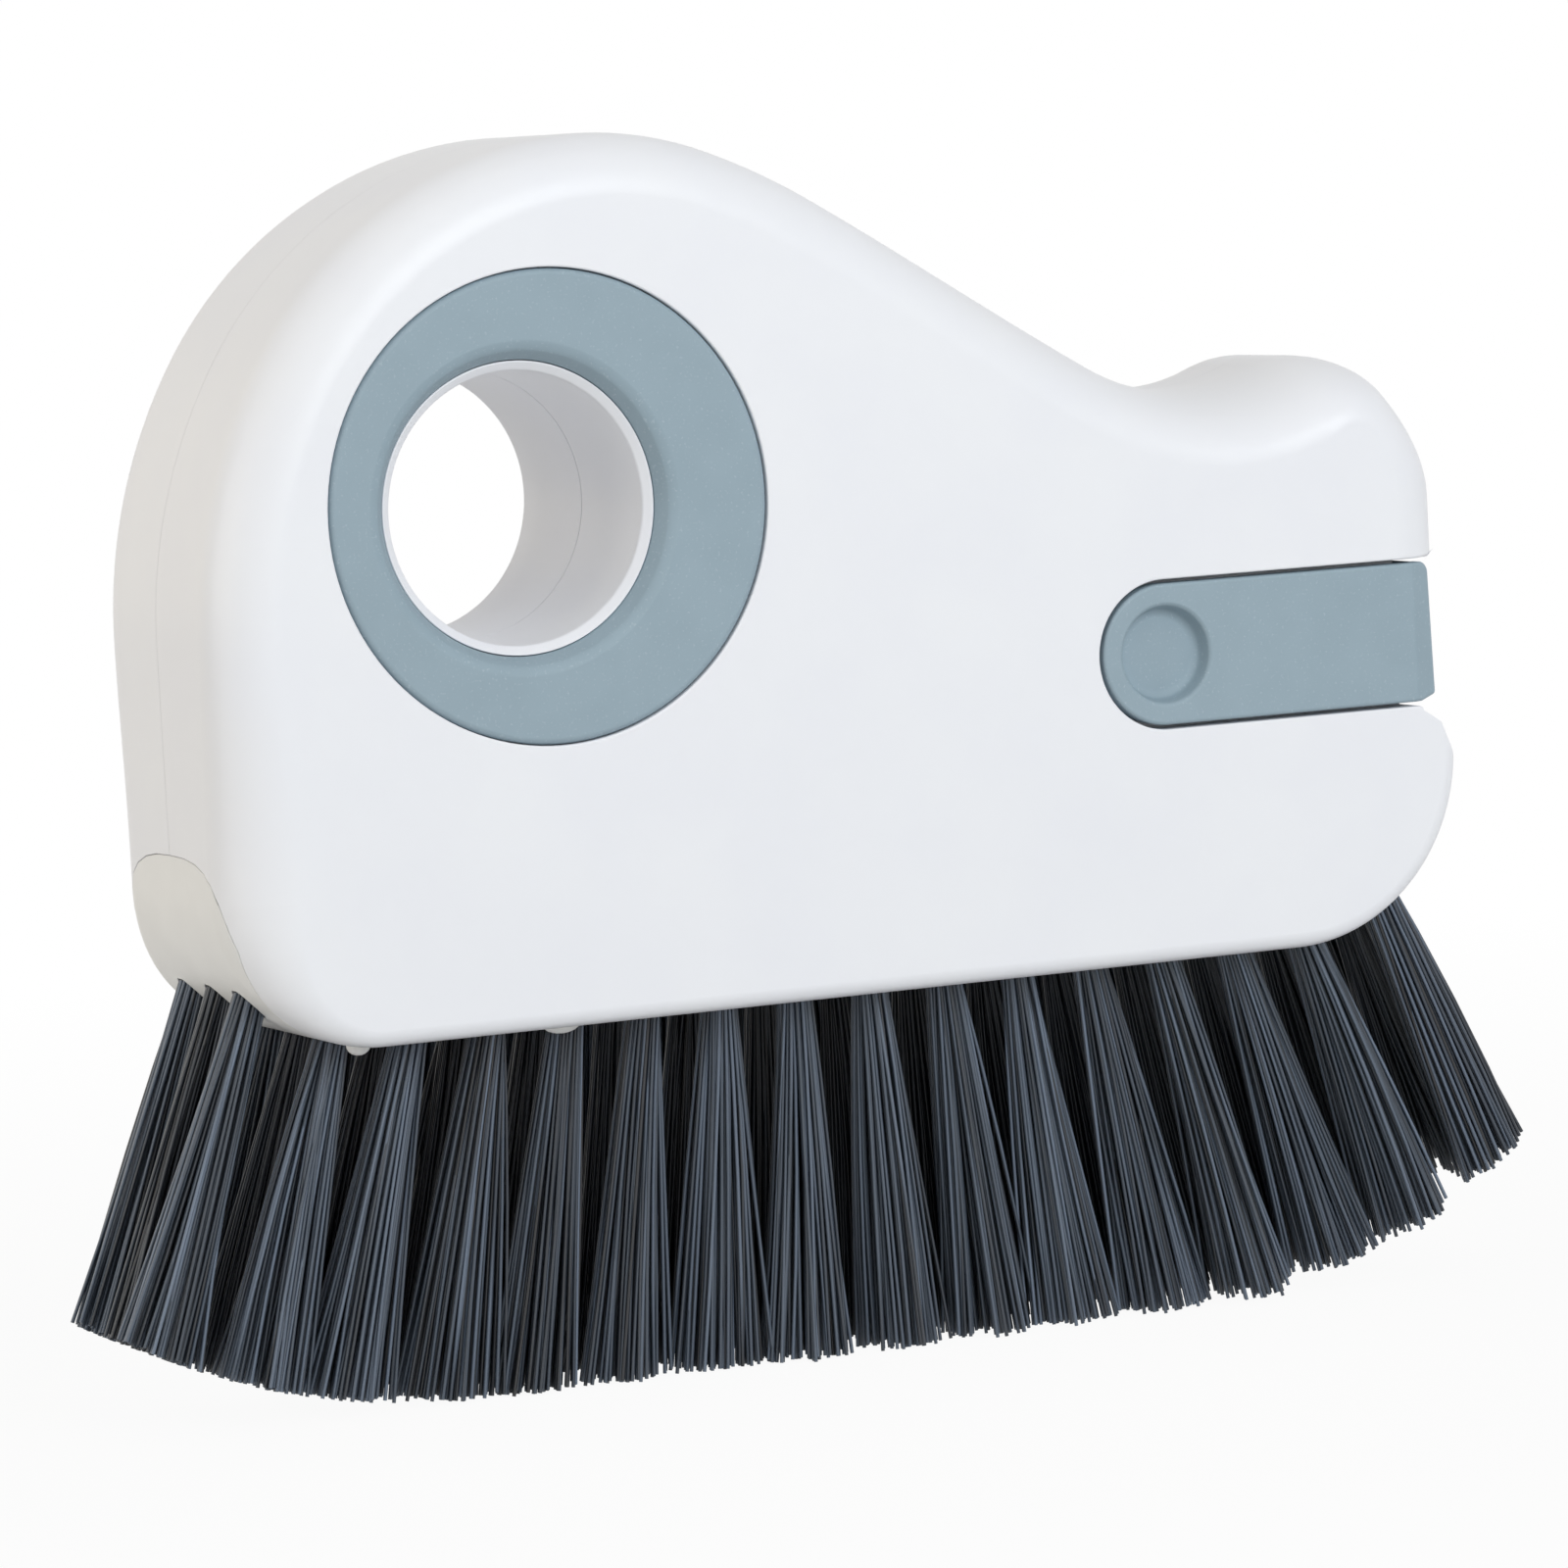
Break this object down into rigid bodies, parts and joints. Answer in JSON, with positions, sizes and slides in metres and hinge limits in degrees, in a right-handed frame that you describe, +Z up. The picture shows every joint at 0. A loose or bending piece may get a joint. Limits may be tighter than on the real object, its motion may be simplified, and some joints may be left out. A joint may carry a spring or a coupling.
{
  "type": "grout brush",
  "caption": "Hand brush for grout: a flat thick body with a finger hole, soft grip rings, a slide-out scraper in the nose and fanned stiff tufts underneath.",
  "frame": {"origin": "middle of the part's outer box, on the plane of the flat-trimmed bristle tips it stands on", "axes": "+X from the heel with the finger hole to the nose with the scraper, +Y away from the face that the picture shows, +Z up from the bristle tips"},
  "size_m": [0.1654, 0.036, 0.1296],
  "materials": {
    "white_plastic": "white injection-moulded polypropylene, satin with soft gloss",
    "block_plastic": "white injection-moulded polypropylene, fine matte",
    "soft_grip": "blue-grey moulded thermoplastic rubber, matte with fine flecks",
    "carrier_plastic": "grey injection-moulded nylon, matte",
    "bristle": "stiff dark extruded nylon filament, faint sheen",
    "anchor_metal": "drawn flat wire, bright"
  },
  "bodies": {
    "brush_body": {"front_shell": "white_plastic", "rear_shell": "white_plastic", "brush_block": "block_plastic", "front_grip_ring": "soft_grip", "rear_grip_ring": "soft_grip", "front_tuft_row": "bristle", "middle_tuft_row": "bristle", "rear_tuft_row": "bristle", "tuft_anchors": "anchor_metal"},
    "scraper": {"slide_carrier": "carrier_plastic", "slide_cover": "soft_grip"}
  },
  "joints": [
    {"name": "scraper_slide", "type": "slide", "parent": "brush_body", "child": "scraper", "axis": [1, 0, 0], "range_m": [0, 0.02]}
  ]
}
